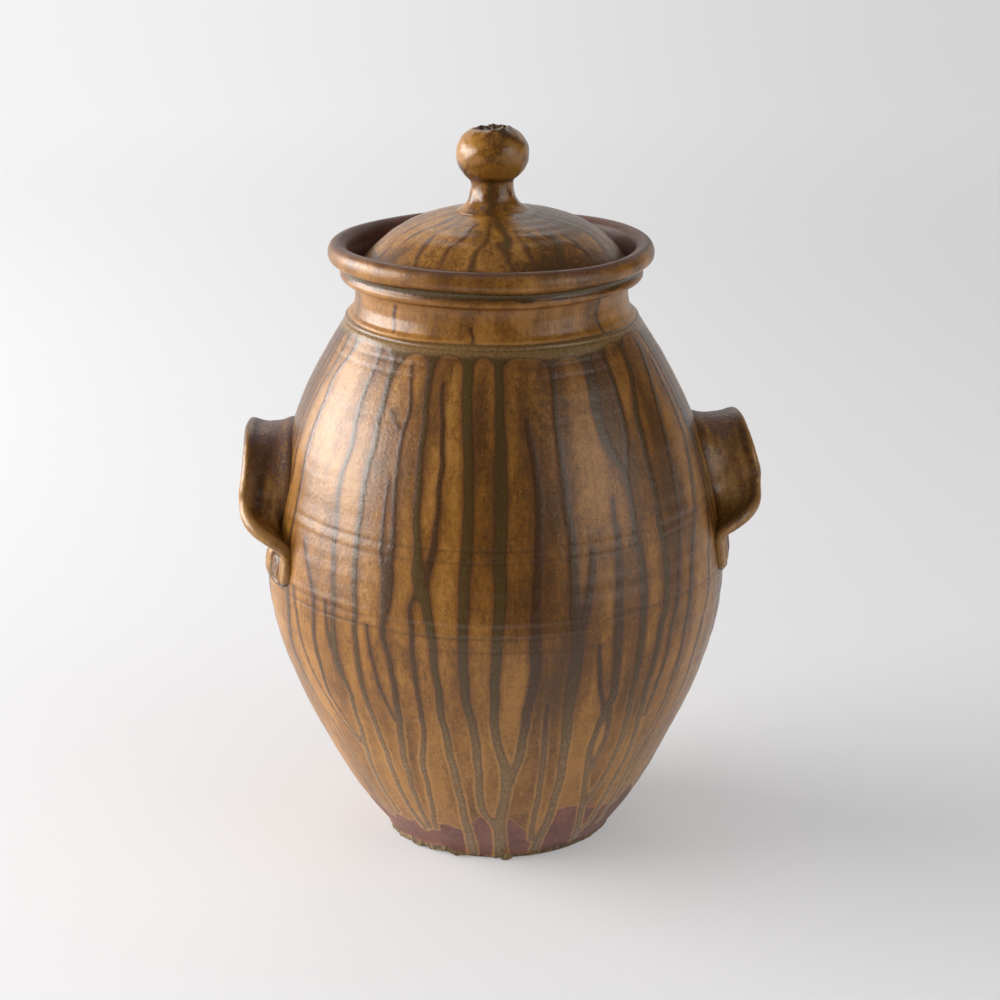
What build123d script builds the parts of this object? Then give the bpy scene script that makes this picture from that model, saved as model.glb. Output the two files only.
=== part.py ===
"""Stoneware storage jar: a thrown body and neck, two strap handles and a domed lid with a ball knob.

The frame stands at the centre of the base, with +Z up and the handles along X.
All lengths are in millimetres.
"""
from build123d import *
import math
import os

# Body wall, from the foot to the neck ring
foot_radius = 74.0
foot_bevel = 2.5
belly_radius = 147.3
belly_height = 178.0
shoulder_radius = 92.4
shoulder_height = 341.0
wall_thickness = 9.0
floor_thickness = 12.0
inner_floor_radius = 56.0

# Share of the height from foot to belly, and share of the swelling reached there
lower_wall_shares = ((0.14, 0.225), (0.337, 0.492), (0.618, 0.801), (0.86, 0.967))
# Share of the height from belly to neck ring, and share of the narrowing reached there
upper_wall_shares = ((0.194, 0.062), (0.436, 0.222), (0.679, 0.46), (0.9, 0.81))

# Turned surfaces close at the back, away from the handles
seam_heading = 90.0

# Neck, with a raised ring where it is joined to the shoulder
neck_ring_width = 4.0
neck_ring_inset = 0.6
ring_bulge_share = 0.6
neck_base_inset = 4.0
neck_waist_radius = 85.4
neck_top_radius = 87.4
neck_height = 22.0

# Collar under the rim: a bead, a cove and the undercut of the lip
collar_radius = 92.4
collar_step = 0.8
bead_radius = 94.2
bead_height = 3.4
cove_radius = 93.4
cove_height = 6.6
lip_undercut = 3.4

# Rolled lip
lip_radius = 101.0
lip_edge_radius = 100.4
lip_height = 9.2
crest_radius = 97.0
lip_inner_radius = 90.0
lip_inner_drop = 3.6
lip_bulge_share = 0.4
lip_roll_share = 0.25

# Gallery: the ledge inside the rim that carries the lid, and the throat below it
gallery_radius = 87.2
throat_radius = 76.0
ledge_rise = 2.0
throat_length = 15.0

# Lid, which sits on the ledge
lid_side_clearance = 2.6
lid_edge_height = 5.6
lid_land_radius = 17.6
lid_rise = 40.6
lid_thickness = 7.0
locating_ring_clearance = 2.5
locating_ring_depth = 13.0
locating_ring_thickness = 6.0
# Share of the way from the land to the edge, and share of the drop reached there
lid_dome_shares = ((0.245, 0.1), (0.484, 0.226), (0.664, 0.385), (0.81, 0.6), (0.92, 0.82))
# Which of those points stands over the flange's inner edge
under_flange_index = 3

# Ball knob on a waisted stem, with a shallow crater in its top
knob_foot_radius = 17.2
knob_foot_height = 1.6
stem_radius = 13.1
stem_height = 13.6
knob_neck_radius = 14.0
knob_neck_height = 17.0
ball_radius = 22.8
ball_middle_height = 35.2
knob_height = 50.2
crater_rim_radius = 10.5
crater_radius = 8.0
crater_depth = 2.4

# Handles: a strap bent into an arch, its ends twisted about their wall edge until they lie flat
left_arch_drop = 73.0
right_arch_drop = 74.5
left_strap_width = 31.5
right_strap_width = 36.5
left_leg_spread = 41.0
right_leg_spread = 29.0
left_toe_spread = 42.0
right_toe_spread = 32.0
handle_swing = 5.0
handle_drop = 85.0
arch_rise = 31.0
strap_thickness = 9.0
strap_dish = 3.2
pad_dish = 0.5
strap_embed = 3.0
crown_stations = 6
# Share of the wall's own turn that the strap's width follows on the legs
fan_share = 0.4
# Below the arch: share of the drop, share of the way from leg to toe spread, share of the quarter-turn
# twist, share of the strap's width, share of that width left at the tip, and share of its thickness
foot_shares = (
    (0.1, 0.0, 0.03, 0.95, 1.0, 1.0),
    (0.2, 0.1, 0.14, 0.9, 1.0, 1.0),
    (0.31, 0.3, 0.4, 0.85, 1.0, 0.96),
    (0.42, 0.55, 0.7, 0.83, 1.0, 0.9),
    (0.53, 0.8, 0.92, 0.87, 1.0, 0.85),
    (0.64, 0.95, 1.0, 0.94, 1.0, 0.8),
    (0.8, 1.0, 1.0, 0.98, 1.0, 0.78),
    (0.93, 1.0, 1.0, 0.98, 0.82, 0.7),
    (1.0, 1.0, 1.0, 0.98, 0.5, 0.5),
)

# Seal pressed in each strap end: a plain oval ring
seal_width = 17.0
seal_height = 21.0
seal_line_width = 1.6
seal_depth = 0.9
seal_drop_share = 0.78
pad_width_share = 0.98
pad_thickness_share = 0.78

joint_inner_radius = shoulder_radius - wall_thickness
neck_ring_radius = shoulder_radius - neck_ring_inset
neck_base_radius = shoulder_radius - neck_base_inset
neck_base_height = shoulder_height + neck_ring_width
collar_height = neck_base_height + neck_height
ledge_height = collar_height + ledge_rise
cove_top_height = collar_height + bead_height + cove_height
lip_base_height = cove_top_height + lip_undercut
rim_height = lip_base_height + lip_height
left_arch_height = shoulder_height - left_arch_drop
right_arch_height = shoulder_height - right_arch_drop
lid_radius = gallery_radius - lid_side_clearance
ring_outer_radius = throat_radius - locating_ring_clearance
ring_inner_radius = ring_outer_radius - locating_ring_thickness
lid_shoulder_height = ledge_height + lid_edge_height
lid_land_height = ledge_height + lid_rise


def profile_point(radius, height):
    """A point of a turned profile, drawn on the XZ plane."""
    return (radius, 0, height)


def wall_points(inset):
    """Points of the body wall between foot and neck ring, moved inwards by inset."""
    points = []
    for height_share, swell_share in lower_wall_shares:
        radius = foot_radius + (belly_radius - foot_radius) * swell_share
        points.append(profile_point(radius - inset, belly_height * height_share))
    points.append(profile_point(belly_radius - inset, belly_height))
    for height_share, narrow_share in upper_wall_shares:
        radius = belly_radius - (belly_radius - shoulder_radius) * narrow_share
        height = belly_height + (shoulder_height - belly_height) * height_share
        points.append(profile_point(radius - inset, height))
    return points


def outer_wall():
    """The outside of the wall, as one smooth curve."""
    foot_top = profile_point(foot_radius, foot_bevel)
    return Spline(foot_top, *wall_points(0), profile_point(shoulder_radius, shoulder_height))


def turned(edges):
    """Solid of revolution of a closed outline about the jar's axis."""
    return Rot(0, 0, seam_heading) * revolve(make_face(edges), Axis.Z, 360)


wall_curve = outer_wall()
curve_halvings = 40


def wall_radius(height):
    """Outer radius of the wall at a height, found on the wall's own curve."""
    low, high = 0.0, 1.0
    for _ in range(curve_halvings):
        middle = (low + high) / 2
        if (wall_curve @ middle).Z < height:
            low = middle
        else:
            high = middle
    return (wall_curve @ low).X


def rim_outline():
    """Outside of the neck, collar and lip, from the neck ring up to the crest."""
    ring_low = profile_point(shoulder_radius, shoulder_height)
    ring_middle = profile_point(neck_ring_radius, shoulder_height + neck_ring_width * ring_bulge_share)
    neck_low = profile_point(neck_base_radius, neck_base_height)
    neck_waist = profile_point(neck_waist_radius, neck_base_height + neck_height / 2)
    neck_top = profile_point(neck_top_radius, collar_height - collar_step)
    collar = profile_point(collar_radius, collar_height)
    bead = profile_point(bead_radius, collar_height + bead_height)
    cove = profile_point(cove_radius, collar_height + bead_height + cove_height / 2)
    cove_top = profile_point(bead_radius, cove_top_height)
    lip_edge = profile_point(lip_edge_radius, lip_base_height)
    lip_middle = profile_point(lip_radius, lip_base_height + lip_height * lip_bulge_share)
    crest = profile_point(crest_radius, rim_height)
    return [
        ThreePointArc(ring_low, ring_middle, neck_low),
        ThreePointArc(neck_low, neck_waist, neck_top),
        Line(neck_top, collar),
        Line(collar, bead),
        ThreePointArc(bead, cove, cove_top),
        Line(cove_top, lip_edge),
        ThreePointArc(lip_edge, lip_middle, crest),
    ]


def throat_outline():
    """Inside of the neck, from the crest down the gallery and throat to the joint with the body."""
    crest = profile_point(crest_radius, rim_height)
    lip_inside = profile_point(lip_inner_radius, rim_height - lip_inner_drop)
    roll_radius = (crest_radius + lip_inner_radius) / 2
    lip_roll = profile_point(roll_radius, rim_height - lip_inner_drop * lip_roll_share)
    ledge_outer = profile_point(gallery_radius, ledge_height)
    ledge_inner = profile_point(throat_radius, ledge_height)
    throat_low = profile_point(throat_radius, ledge_height - throat_length)
    joint_inside = profile_point(joint_inner_radius, shoulder_height)
    return [
        ThreePointArc(crest, lip_roll, lip_inside),
        Line(lip_inside, ledge_outer),
        Line(ledge_outer, ledge_inner),
        Line(ledge_inner, throat_low),
        Spline(throat_low, joint_inside, tangents=[(0, 0, -1), (1, 0, -1)]),
    ]


def hollow_outline():
    """Inside of the body, from the middle of the floor up to the joint with the neck."""
    floor_edge = profile_point(inner_floor_radius, floor_thickness)
    floor_middle = profile_point(0, floor_thickness)
    joint_inside = profile_point(joint_inner_radius, shoulder_height)
    inner_points = [floor_edge, *wall_points(wall_thickness), joint_inside]
    return [Line(floor_middle, floor_edge), Spline(*inner_points)]


def base_outline():
    """The flat base and its bevelled corner, from the axis out to the wall."""
    middle = profile_point(0, 0)
    corner = profile_point(foot_radius - foot_bevel, 0)
    foot_top = profile_point(foot_radius, foot_bevel)
    return [Line(middle, corner), Line(corner, foot_top)]


def joint_line():
    """The flat ring where neck and body meet."""
    joint_outside = profile_point(shoulder_radius, shoulder_height)
    joint_inside = profile_point(joint_inner_radius, shoulder_height)
    return Line(joint_outside, joint_inside)


def make_jar_body():
    """The thrown body: base and wall up to the neck joint."""
    axis_line = Line(profile_point(0, 0), profile_point(0, floor_thickness))
    return turned([*base_outline(), wall_curve, joint_line(), *hollow_outline(), axis_line])


def make_jar_neck():
    """The thrown neck with its collar and lip, and inside it the ledge that carries the lid."""
    return turned([*rim_outline(), *throat_outline(), joint_line()])


def make_wall_core():
    """The body with its hollow filled up to the neck ring, which cuts the handles to the wall."""
    top_middle = profile_point(0, shoulder_height)
    shoulder = profile_point(shoulder_radius, shoulder_height)
    edges = [*base_outline(), wall_curve, Line(shoulder, top_middle), Line(top_middle, profile_point(0, 0))]
    return turned(edges)


def strap_section(width, thickness, dish):
    """Strap cut square: X from the wall to the free edge, Y towards the plain inner face."""
    half = thickness / 2
    reach = width / 2 - half
    inner_face = Line((-reach, half), (reach, half))
    free_edge = ThreePointArc((reach, half), (reach + half, 0), (reach, -half))
    dished_face = ThreePointArc((reach, -half), (0, dish - half), (-reach, -half))
    wall_edge = ThreePointArc((-reach, -half), (-reach - half, 0), (-reach, half))
    return make_face([inner_face, free_edge, dished_face, wall_edge])


def handle_stations(leg_spread, toe_spread):
    """Down one leg: drop, spread of the wall edge, twist, and shares of width, tip and thickness."""
    stations = []
    for step in range(crown_stations):
        angle = math.radians(90) * step / (crown_stations - 1)
        drop = arch_rise * (1 - math.cos(angle))
        stations.append((drop, leg_spread * math.sin(angle), 0.0, 1.0, 1.0, 1.0))
    for drop_share, toe_share, twist_share, *section_shares in foot_shares:
        drop = arch_rise + (handle_drop - arch_rise) * drop_share
        spread = leg_spread + (toe_spread - leg_spread) * toe_share
        stations.append((drop, spread, twist_share, *section_shares))
    return stations


def station_frame(station, arch_height, strap_width):
    """Middle of the strap at a station, and the direction of its width."""
    drop, spread, twist_share, width_share, tip_share, thickness_share = station
    height = arch_height - drop
    radius = wall_radius(height)
    around = math.asin(spread / radius)
    half_width = strap_width * width_share / 2
    half_thickness = strap_thickness * thickness_share / 2
    twist = math.radians(90) * twist_share
    follow = around * (fan_share + (1 - fan_share) * twist_share)
    width_angle = follow + half_width / radius * twist_share + twist
    across = Vector(math.cos(width_angle), math.sin(width_angle), 0)
    edge_radius = radius + half_thickness * math.sin(twist) - strap_embed
    wall_edge = Vector(edge_radius * math.cos(around), edge_radius * math.sin(around), height)
    return wall_edge + across * half_width, across


def strap_plane(middles, index, across):
    """Plane square to the strap's path at one station, with X along the strap's width."""
    before = middles[max(index - 1, 0)]
    after = middles[min(index + 1, len(middles) - 1)]
    along = (after - before).normalized()
    across = (across - along * across.dot(along)).normalized()
    return Plane(origin=middles[index], x_dir=across, z_dir=along)


def mirrored(vector):
    """The same vector on the other side of the handle's middle plane."""
    return Vector(vector.X, -vector.Y, vector.Z)


def seal_ring(pad_middle, outward):
    """Oval ring that sinks into the outer face of a strap end."""
    face = Plane(origin=pad_middle, x_dir=(-outward.Y, outward.X, 0), z_dir=outward)
    outer = Ellipse(seal_width / 2, seal_height / 2)
    inner = Ellipse(seal_width / 2 - seal_line_width, seal_height / 2 - seal_line_width)
    ring = extrude(outer - inner, amount=strap_thickness)
    return face * ring


def make_handle(arch_height, strap_width, leg_spread, toe_spread, wall_core):
    """Arched strap standing off the wall at +X, cut to the wall where it is luted on."""
    one_side = []
    for station in handle_stations(leg_spread, toe_spread):
        middle, across = station_frame(station, arch_height, strap_width)
        one_side.append((middle, across, station))
    other_side = [(mirrored(middle), mirrored(across), station) for middle, across, station in one_side[1:]]
    path = [*reversed(other_side), *one_side]
    middles = [middle for middle, across, station in path]
    sections = []
    for index, (middle, across, station) in enumerate(path):
        drop, spread, twist_share, width_share, tip_share, thickness_share = station
        dish = pad_dish + (strap_dish - pad_dish) * (1 - twist_share)
        section_width = strap_width * width_share * tip_share
        outline = strap_section(section_width, strap_thickness * thickness_share, dish)
        sections.append(strap_plane(middles, index, across) * outline)
    handle = loft(sections) - wall_core
    seal_drop = arch_rise + (handle_drop - arch_rise) * seal_drop_share
    seal_station = (seal_drop, toe_spread, 1.0, pad_width_share, 1.0, pad_thickness_share)
    middle, across = station_frame(seal_station, arch_height, strap_width)
    outward = Vector(across.Y, -across.X, 0)
    seal_middle = middle + outward * (strap_thickness * pad_thickness_share / 2 - seal_depth)
    handle -= seal_ring(seal_middle, outward)
    handle -= seal_ring(mirrored(seal_middle), mirrored(outward))
    return handle


def make_lid():
    """Hollow dome on the flat seat flange that lies on the ledge."""
    drop = lid_land_height - lid_shoulder_height
    reach = lid_radius - lid_land_radius
    land_edge = profile_point(lid_land_radius, lid_land_height)
    shoulder = profile_point(lid_radius, lid_shoulder_height)
    dome_points = []
    under_points = []
    for reach_share, drop_share in lid_dome_shares:
        radius = lid_land_radius + reach * reach_share
        height = lid_land_height - drop * drop_share
        dome_points.append(profile_point(radius, height))
        under_points.append(profile_point(radius - lid_thickness * drop_share, height - lid_thickness))
    under_middle = profile_point(0, lid_land_height - lid_thickness)
    flange_inside = profile_point(ring_inner_radius, ledge_height)
    flange_top = under_points[under_flange_index]
    edges = [
        Line(profile_point(0, lid_land_height), land_edge),
        Spline(land_edge, *dome_points, shoulder),
        Line(shoulder, profile_point(lid_radius, ledge_height)),
        Line(profile_point(lid_radius, ledge_height), flange_inside),
        Line(flange_inside, flange_top),
        Spline(flange_top, *reversed(under_points[:under_flange_index]), under_middle,
               tangents=[(-1, 0, 1), (-1, 0, 0)]),
        Line(under_middle, profile_point(0, lid_land_height)),
    ]
    return turned(edges)


def make_lid_ring():
    """Ring under the lid that centres it in the throat."""
    ring_base = ledge_height - locating_ring_depth
    corners = [
        profile_point(ring_inner_radius, ledge_height),
        profile_point(ring_outer_radius, ledge_height),
        profile_point(ring_outer_radius, ring_base),
        profile_point(ring_inner_radius, ring_base),
    ]
    return turned([Polyline(*corners, close=True)])


def make_knob():
    """Ball knob and stem, standing on the flat land of the lid."""
    base = lid_land_height
    foot_low = profile_point(knob_foot_radius, base)
    foot_top = profile_point(knob_foot_radius, base + knob_foot_height)
    waist = profile_point(stem_radius, base + stem_height)
    neck = profile_point(knob_neck_radius, base + knob_neck_height)
    ball_side = profile_point(ball_radius, base + ball_middle_height)
    crater_rim = profile_point(crater_rim_radius, base + knob_height)
    crater_edge = profile_point(crater_radius, base + knob_height)
    crater_middle = profile_point(0, base + knob_height - crater_depth)
    edges = [
        Line(profile_point(0, base), foot_low),
        Line(foot_low, foot_top),
        Spline(foot_top, waist, neck, tangents=[(-1, 0, 1), (1, 0, 4)]),
        Spline(neck, ball_side, crater_rim, tangents=[(1, 0, 1), (-2, 0, 1)]),
        Line(crater_rim, crater_edge),
        Line(crater_edge, crater_middle),
        Line(crater_middle, profile_point(0, base)),
    ]
    return turned(edges)


def main():
    os.makedirs("parts", exist_ok=True)
    wall_core = make_wall_core()
    left_sizes = (left_arch_height, left_strap_width, left_leg_spread, left_toe_spread)
    right_sizes = (right_arch_height, right_strap_width, right_leg_spread, right_toe_spread)
    pieces = {
        "jar_body": make_jar_body(),
        "jar_neck": make_jar_neck(),
        "left_handle": Rot(0, 0, 180 - handle_swing) * make_handle(*left_sizes, wall_core),
        "right_handle": Rot(0, 0, handle_swing) * make_handle(*right_sizes, wall_core),
        "lid": make_lid(),
        "lid_ring": make_lid_ring(),
        "lid_knob": make_knob(),
    }
    for node, shape in pieces.items():
        export_step(shape, f"parts/{node}.step")


main()
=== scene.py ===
"""Looks of the stoneware storage jar, fitted over its solids.

Lengths are in millimetres until a mesh is made; meshes, lamps and the camera are in metres.
"""

import math

import bpy
import numpy as np
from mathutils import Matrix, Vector


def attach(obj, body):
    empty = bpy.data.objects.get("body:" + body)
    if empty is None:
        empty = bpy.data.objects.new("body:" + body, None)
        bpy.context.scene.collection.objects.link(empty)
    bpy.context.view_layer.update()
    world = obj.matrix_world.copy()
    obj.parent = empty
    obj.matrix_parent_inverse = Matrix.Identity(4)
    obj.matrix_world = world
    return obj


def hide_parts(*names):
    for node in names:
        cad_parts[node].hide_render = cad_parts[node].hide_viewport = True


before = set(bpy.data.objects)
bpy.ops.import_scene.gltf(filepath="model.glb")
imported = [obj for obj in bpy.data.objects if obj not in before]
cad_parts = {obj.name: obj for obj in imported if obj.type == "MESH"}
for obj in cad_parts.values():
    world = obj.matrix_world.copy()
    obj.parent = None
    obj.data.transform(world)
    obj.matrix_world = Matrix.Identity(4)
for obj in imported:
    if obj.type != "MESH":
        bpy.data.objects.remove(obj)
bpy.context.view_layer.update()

mm = 0.001
turn = 2 * math.pi
draws = np.random.default_rng(41)

# Camera, and the picture that it takes
camera_place = (-0.1507, -1.4421, 0.688)
camera_pitch = 17.93
camera_heading = -6.0
camera_lens = 85.03
camera_sensor = 36.0
picture_size = 1000
# The front of the wall lies between these distances from the camera
wall_reach = (1150, 1650)
# Direction from the jar's axis to its front, the side that faces the camera
front_angle = math.radians(-90 + camera_heading)

# Wall of the body: heights and outer radii, up to the joint ring under the neck
shoulder_height = 341.0
wall_heights = (2.5, 24.9, 60.0, 110.0, 153.1, 178.0, 209.6, 249.1, 288.7, 324.7, shoulder_height)
wall_radii = (74.0, 90.5, 110.1, 132.7, 144.9, 147.3, 143.9, 135.1, 122.0, 102.8, 92.4)
wall_thickness = 9.0

# The thrown pot leans a little to the camera's left: by 4.2 at a height of 352
lean_share = 4.2 / 352
lean_heading = math.radians(180 + camera_heading)
# The lid and its knob lie a little off the middle, to the camera's right
lid_aside = 1.6
knob_aside = 1.5


def smooth_curve(places, values):
    """Natural cubic through the points, as a function of arrays."""
    places, values = np.array(places, float), np.array(values, float)
    count, gaps = len(places), np.diff(places)
    matrix, right = np.eye(count), np.zeros(count)
    for i in range(1, count - 1):
        matrix[i, i - 1:i + 2] = gaps[i - 1], 2 * (gaps[i - 1] + gaps[i]), gaps[i]
        right[i] = 6 * ((values[i + 1] - values[i]) / gaps[i] - (values[i] - values[i - 1]) / gaps[i - 1])
    bends = np.linalg.solve(matrix, right)

    def at(wanted):
        wanted = np.asarray(wanted, float)
        i = np.clip(np.searchsorted(places, wanted) - 1, 0, count - 2)
        gap, after, before = gaps[i], wanted - places[i], places[i + 1] - wanted
        cubic = (bends[i] * before**3 + bends[i + 1] * after**3) / (6 * gap)
        left = (values[i] / gap - bends[i] * gap / 6) * before
        return cubic + left + (values[i + 1] / gap - bends[i + 1] * gap / 6) * after

    return at


wall_radius = smooth_curve(wall_heights, wall_radii)


def smooth_step(value, low, high):
    """0 below low and 1 above high, with a soft rise between; high may be the smaller one."""
    share = np.clip((value - low) / (high - low), 0, 1)
    return share * share * (3 - 2 * share)


def wrapped(angle):
    """The angle, brought to between minus and plus half a turn."""
    return (angle + math.pi) % turn - math.pi


def make_ripple(count, most_turns, shortest_wave):
    """A random smooth wave of angle and height, of about unit size, which closes round the axis."""
    turns = draws.integers(-most_turns, most_turns + 1, count)
    pitches = draws.uniform(0.1, 1, count) * turn / shortest_wave
    starts = draws.uniform(0, turn, count)

    def at(angle, height):
        total = np.zeros(np.broadcast(angle, height).shape)
        for m, k, start in zip(turns, pitches, starts):
            total += np.cos(m * angle + k * height + start)
        return total * math.sqrt(2 / count)

    return at


def leaned(points):
    """Points in millimetres, moved with the lean of the pot."""
    moved = points.copy()
    shift = points[..., 2] * lean_share
    moved[..., 0] += shift * math.cos(lean_heading)
    moved[..., 1] += shift * math.sin(lean_heading)
    return moved


def new_mesh(name, points, quads, triangles=()):
    """Mesh object of the points, in millimetres, with smooth faces."""
    mesh = bpy.data.meshes.new(name)
    quads = np.asarray(quads, np.int32).reshape(-1, 4)
    triangles = np.asarray(triangles, np.int32).reshape(-1, 3)
    corners = np.concatenate([quads.ravel(), triangles.ravel()])
    starts = np.concatenate([np.arange(len(quads)) * 4, len(quads) * 4 + np.arange(len(triangles)) * 3])
    mesh.vertices.add(len(points))
    mesh.vertices.foreach_set("co", (np.asarray(points) * mm).astype(np.float32).ravel())
    mesh.loops.add(len(corners))
    mesh.loops.foreach_set("vertex_index", corners.astype(np.int32))
    mesh.polygons.add(len(starts))
    mesh.polygons.foreach_set("loop_start", starts.astype(np.int32))
    mesh.update(calc_edges=True)
    mesh.shade_smooth()
    thing = bpy.data.objects.new(name, mesh)
    bpy.context.scene.collection.objects.link(thing)
    return thing


def give_field(thing, name, values):
    """Stores one number for each vertex, for the materials to read."""
    field = thing.data.attributes.new(name, "FLOAT", "POINT")
    field.data.foreach_set("value", np.asarray(values, np.float32).ravel())


def rounded(points, passes):
    """The line with its corners cut, again and again, the ends kept."""
    points = np.array(points, float)
    for _ in range(passes):
        low = points[:-1] * 0.75 + points[1:] * 0.25
        high = points[:-1] * 0.25 + points[1:] * 0.75
        inner = np.stack([low, high], 1).reshape(-1, points.shape[1])
        points = np.concatenate([points[:1], inner[1:-1], points[-1:]])
    return points


def evenly(points, spacing):
    """Points along the line at even steps."""
    points = np.asarray(points, float)
    along = np.concatenate([[0], np.cumsum(np.linalg.norm(np.diff(points, axis=0), axis=1))])
    count = max(2, int(round(along[-1] / spacing)) + 1)
    wanted = np.linspace(0, along[-1], count)
    return np.stack([np.interp(wanted, along, points[:, i]) for i in range(points.shape[1])], 1)


class Turned:
    """A closed outline of (radius, height) turned about the axis: a grid of rows and spokes."""

    def __init__(self, outline, spokes):
        outline = np.asarray(outline, float)
        self.radius, self.height = outline[:, 0], outline[:, 1]
        self.spokes = spokes
        self.angle = np.arange(spokes) * turn / spokes
        slope = np.gradient(outline, axis=0)
        slope /= np.maximum(np.linalg.norm(slope, axis=1), 1e-9)[:, None]
        self.out_radius, self.out_height = slope[:, 1], -slope[:, 0]
        self.shift = np.zeros((len(outline), spokes))
        self.slide = np.zeros((len(outline), spokes, 3))

    def places(self):
        """Angle, height and radius, shaped to spread over the grid."""
        return self.angle[None, :], self.height[:, None], self.radius[:, None]

    def points(self):
        radius = self.radius[:, None] + self.out_radius[:, None] * self.shift
        height = self.height[:, None] + self.out_height[:, None] * self.shift
        grid = np.stack([radius * np.cos(self.angle), radius * np.sin(self.angle), height], -1)
        return grid + self.slide

    def move_right(self, distance):
        """Moves the piece across the picture: by one distance, or by one for each row."""
        self.slide[..., 0] += distance * math.cos(math.radians(camera_heading))
        self.slide[..., 1] += distance * math.sin(math.radians(camera_heading))

    def build(self, name, fields, poles):
        """The mesh: closed on itself, or ending in a point on the axis at both ends."""
        rows, spokes = len(self.radius), self.spokes
        grid = self.points()
        ring = np.arange(spokes)
        after = (ring + 1) % spokes
        if poles:
            first, last = grid[0].mean(0), grid[-1].mean(0)
            grid = grid[1:-1]
            rows -= 2
        steps = np.arange(rows - 1 if poles else rows)[:, None]
        low, high = steps * spokes, (steps + 1) % rows * spokes
        quads = np.stack([low + ring, low + after, high + after, high + ring], -1).reshape(-1, 4)
        triangles = []
        points = grid.reshape(-1, 3)
        if poles:
            count = len(points)
            points = np.concatenate([points, [first, last]])
            start = np.stack([np.full(spokes, count), after, ring], -1)
            base = (rows - 1) * spokes
            end = np.stack([np.full(spokes, count + 1), base + ring, base + after], -1)
            triangles = np.concatenate([start, end])
        thing = new_mesh(name, leaned(points), quads, triangles)
        for field, values in fields.items():
            values = np.broadcast_to(values, (len(self.radius), spokes))
            if poles:
                ends = [values[0].mean(), values[-1].mean()]
                values = np.concatenate([values[1:-1].ravel(), ends])
            give_field(thing, field, values)
        return thing


# Camera
camera_data = bpy.data.cameras.new("camera")
camera_data.lens = camera_lens
camera_data.sensor_width = camera_sensor
camera = bpy.data.objects.new("camera", camera_data)
camera.location = camera_place
camera.rotation_euler = (math.radians(90 - camera_pitch), 0, math.radians(camera_heading))
bpy.context.scene.collection.objects.link(camera)
bpy.context.scene.camera = camera
bpy.context.view_layer.update()


def wall_spot(across, down):
    """Angle and height of the wall where the camera sees it at that place in its picture."""
    reach = camera_lens / camera_sensor * picture_size
    middle = picture_size / 2
    turned = camera.matrix_world.to_3x3() @ Vector(((across - middle) / reach, (middle - down) / reach, -1))
    along = np.linspace(*wall_reach, 1001)[:, None]
    spots = np.array(camera_place) / mm + along * np.array(turned)
    shift = spots[:, 2] * lean_share
    x = spots[:, 0] - shift * math.cos(lean_heading)
    y = spots[:, 1] - shift * math.sin(lean_heading)
    inside = wall_radius(np.clip(spots[:, 2], 0, shoulder_height)) - np.hypot(x, y)
    hits = np.nonzero(inside > 0)[0]
    i = hits[0] if len(hits) else int(np.argmax(inside))
    return math.atan2(y[i], x[i]), spots[i, 2]


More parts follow.
